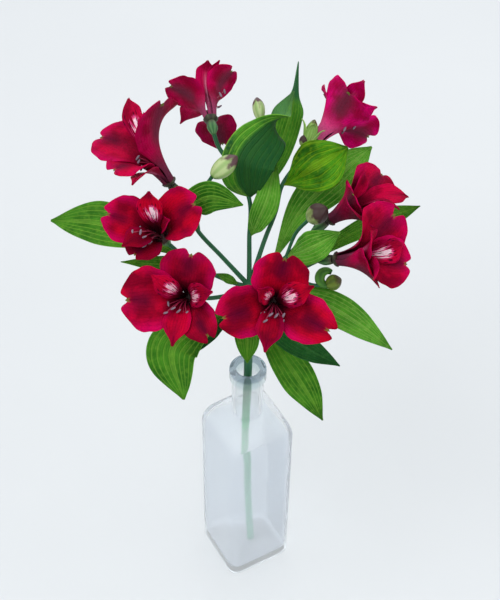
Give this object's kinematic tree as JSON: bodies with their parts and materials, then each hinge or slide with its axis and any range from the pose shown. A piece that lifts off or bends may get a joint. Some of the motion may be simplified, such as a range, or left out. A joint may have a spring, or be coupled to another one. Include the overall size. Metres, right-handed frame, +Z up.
{
  "type": "alstroemeria stem in a glass bottle",
  "caption": "Cut alstroemeria stem with red trumpet flowers, buds and twisted leaves, standing in water in a clear square bottle with a round neck.",
  "frame": {"origin": "middle of the bottle's flat base, on the surface it stands on", "axes": "+Z up along the bottle; -Y towards the side the flowers face, +X to that side's right"},
  "size_m": [0.1991, 0.1695, 0.3349],
  "materials": {
    "bottle_glass": "polished",
    "water": "gloss",
    "stem_green": "satin",
    "leaf_green": "satin",
    "tepal_red": "satin",
    "bud_green": "satin"
  },
  "bodies": {
    "root": {"bottle": "bottle_glass", "water": "water", "stem": "stem_green", "bloom_1": "tepal_red", "bloom_2": "tepal_red", "bloom_3": "tepal_red", "bloom_4": "tepal_red", "bloom_5": "tepal_red", "bloom_6": "tepal_red", "bloom_7": "tepal_red", "bloom_8": "tepal_red", "bud_1": "bud_green", "bud_2": "bud_green", "bud_3": "bud_green", "bud_4": "bud_green", "bud_5": "bud_green", "leaf_1": "leaf_green", "leaf_2": "leaf_green", "leaf_3": "leaf_green", "leaf_4": "leaf_green", "leaf_5": "leaf_green", "leaf_6": "leaf_green", "leaf_7": "leaf_green", "leaf_8": "leaf_green", "leaf_9": "leaf_green", "leaf_10": "leaf_green", "leaf_11": "leaf_green", "leaf_12": "leaf_green", "leaf_13": "leaf_green", "leaf_14": "leaf_green", "leaf_15": "leaf_green", "leaf_16": "leaf_green", "leaf_17": "leaf_green", "leaf_18": "leaf_green"}
  },
  "joints": []
}
